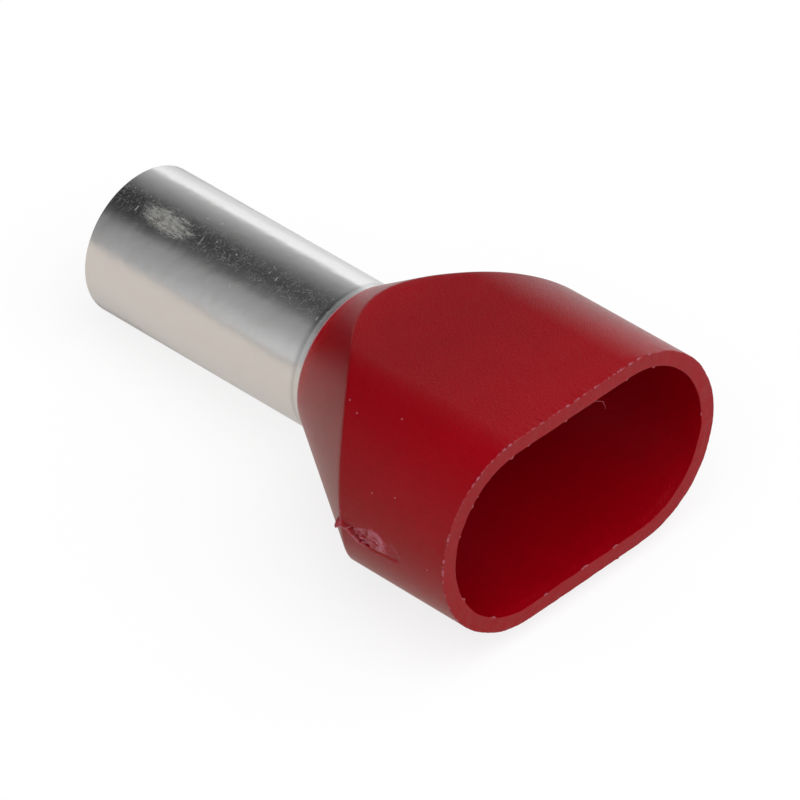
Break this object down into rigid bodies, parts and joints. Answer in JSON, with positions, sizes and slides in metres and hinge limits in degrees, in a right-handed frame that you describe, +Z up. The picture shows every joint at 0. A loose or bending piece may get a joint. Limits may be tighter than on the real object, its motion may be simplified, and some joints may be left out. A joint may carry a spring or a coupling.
{
  "type": "wire ferrule",
  "caption": "Twin-entry wire ferrule: a tinned copper sleeve held in a red plastic collar, which widens from a round nose to a flat mouth for two wires.",
  "frame": {"origin": "on the ground that the ferrule lies on, below the middle of its length and width", "axes": "+X towards the collar's mouth, along the ferrule's length as it lies, with its own axis rising 4.7 degrees to the mouth; +Y across the mouth's width; +Z up, through the mouth's height"},
  "size_m": [0.0268, 0.0158, 0.0103],
  "materials": {
    "tinned_copper": "satin",
    "red_plastic": "satin"
  },
  "bodies": {
    "root": {"sleeve": "tinned_copper", "collar": "red_plastic"}
  },
  "joints": []
}
